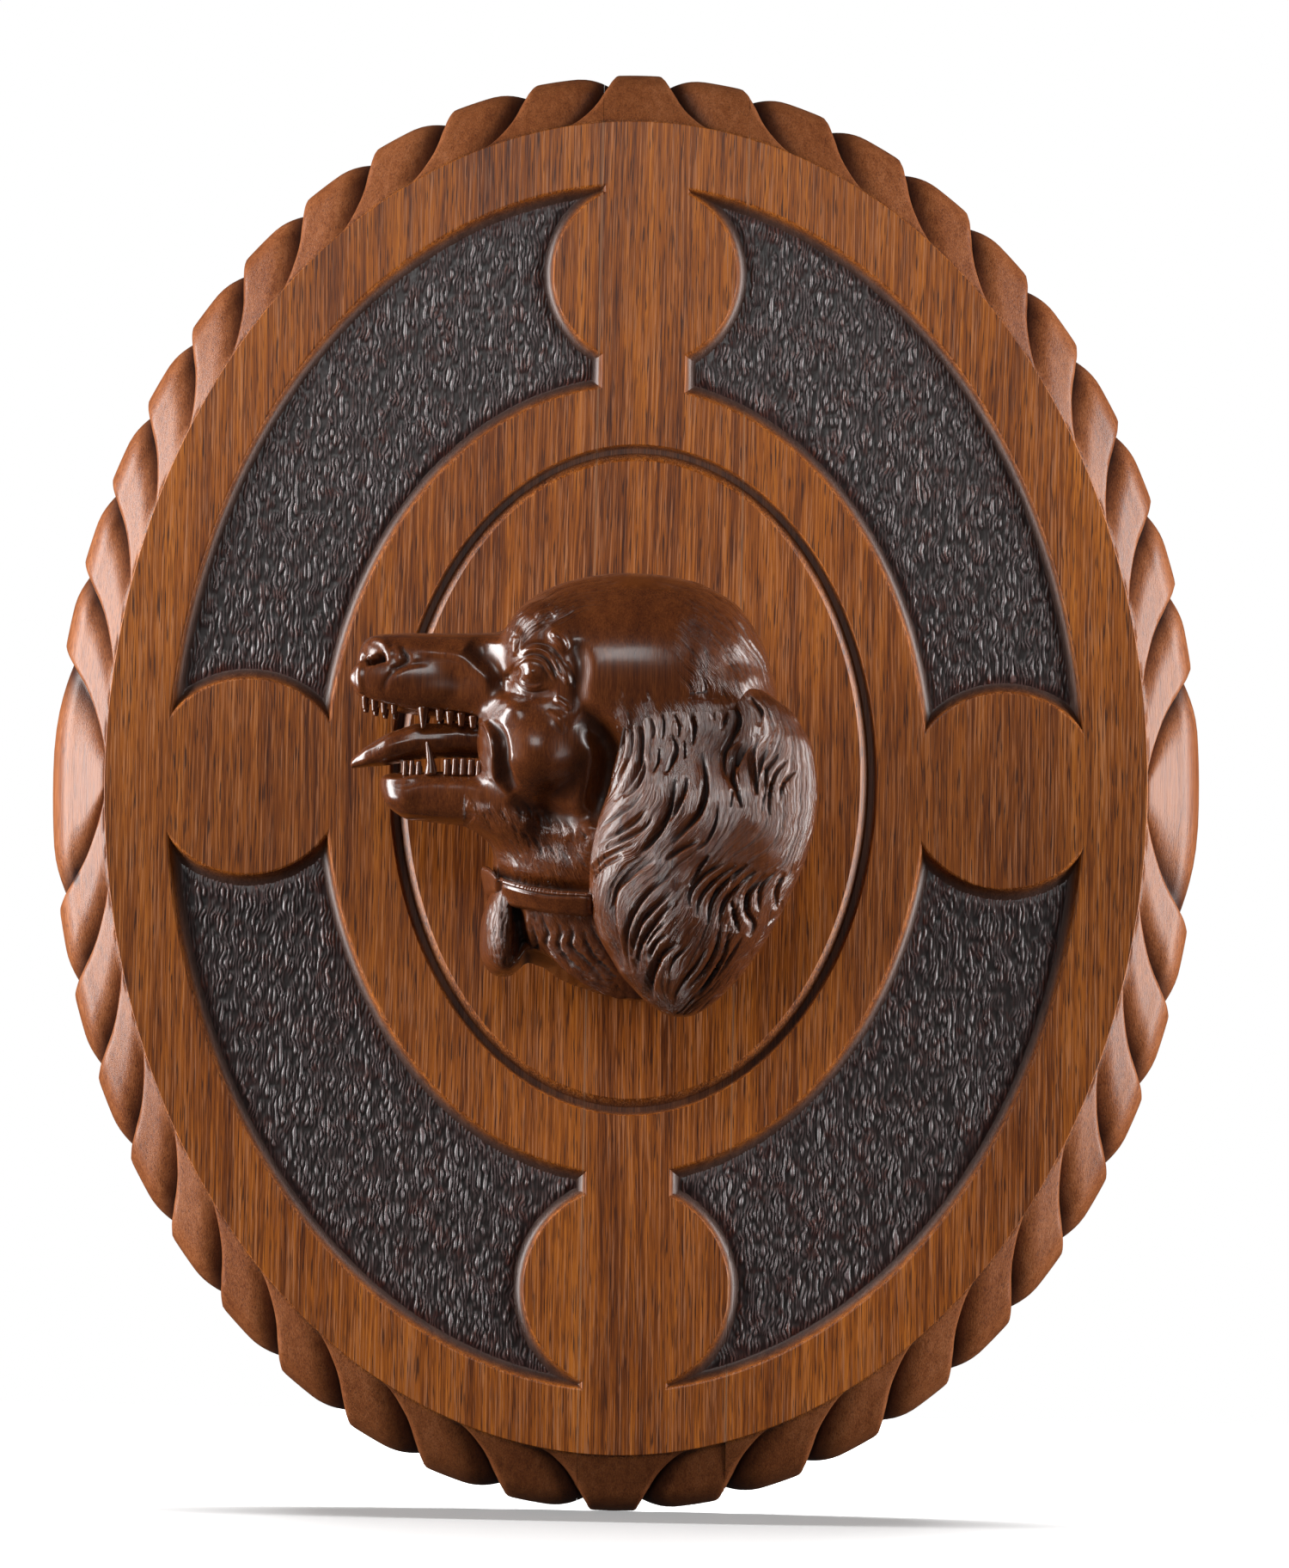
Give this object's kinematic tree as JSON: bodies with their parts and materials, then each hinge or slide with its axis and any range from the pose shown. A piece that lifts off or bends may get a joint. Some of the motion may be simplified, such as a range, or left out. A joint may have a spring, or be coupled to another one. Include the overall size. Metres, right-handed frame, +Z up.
{
  "type": "carved wall plaque",
  "caption": "Oval walnut wall plaque with rope border, sunk matted panels and a hound's head carved in the round, looking left.",
  "frame": {"origin": "centre of the oval board's back face, which lies on the wall", "axes": "+Z up the plaque's long axis, +Y out of the back into the wall, so the front faces -Y, +X to the right seen from the front"},
  "size_m": [0.4858, 0.146, 0.61],
  "materials": {
    "board_wood": "satin varnish",
    "head_wood": "gloss varnish",
    "dowel_wood": "plain beech",
    "screw_steel": "dull",
    "hanger_brass": "aged"
  },
  "bodies": {
    "root": {"stave_left": "board_wood", "stave_centre": "board_wood", "stave_right": "board_wood", "stave_dowels": "dowel_wood", "skull": "head_wood", "neck": "head_wood", "far_ear": "head_wood", "near_ear": "head_wood", "lower_jaw": "head_wood", "tongue": "head_wood", "upper_teeth": "head_wood", "lower_teeth": "head_wood", "collar": "head_wood", "head_screws": "screw_steel", "hanger_plate": "hanger_brass", "hanger_screws": "hanger_brass"}
  },
  "joints": []
}
